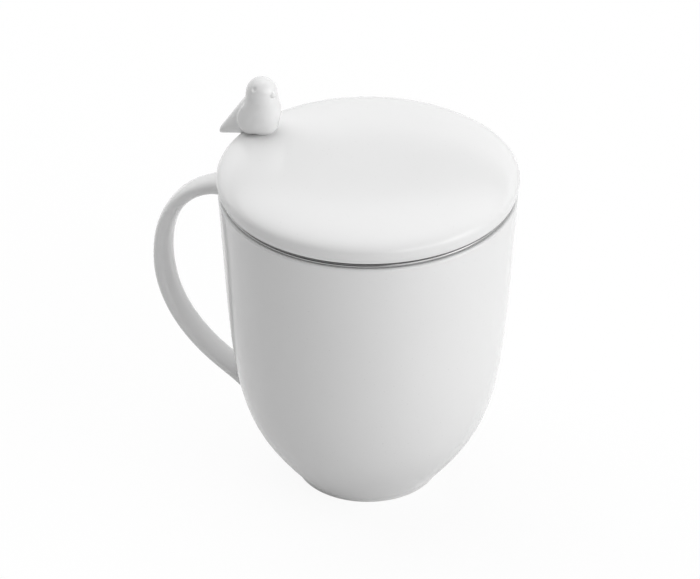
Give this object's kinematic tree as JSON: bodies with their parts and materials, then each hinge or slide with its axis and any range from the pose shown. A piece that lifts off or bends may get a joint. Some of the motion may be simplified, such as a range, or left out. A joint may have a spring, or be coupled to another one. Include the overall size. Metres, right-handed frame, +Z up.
{
  "type": "lidded mug",
  "caption": "White porcelain tea mug with a strap handle, a hanging stainless infuser basket and a thick lift-off lid whose knob is a small perched bird.",
  "frame": {"origin": "middle of the foot ring, on the table", "axes": "+Z up along the mug's axis, -X through the handle, +Y completes the right-handed frame"},
  "size_m": [0.1129, 0.0898, 0.1244],
  "materials": {
    "porcelain": "clear gloss glaze over white porcelain",
    "stainless": "fine brushed stainless sheet"
  },
  "bodies": {
    "mug": {"mug_body": "porcelain", "mug_handle": "porcelain"},
    "infuser": {"infuser_rim": "stainless", "infuser_wall": "stainless", "infuser_base": "stainless"},
    "lid": {"lid_shell": "porcelain", "lid_bird": "porcelain"}
  },
  "joints": [
    {"name": "infuser_lift", "type": "slide", "parent": "mug", "child": "infuser", "axis": [0, 0, 1], "range_m": [0, 0.1]},
    {"name": "lid_lift", "type": "slide", "parent": "infuser", "child": "lid", "axis": [0, 0, 1], "range_m": [0, 0.05]}
  ]
}
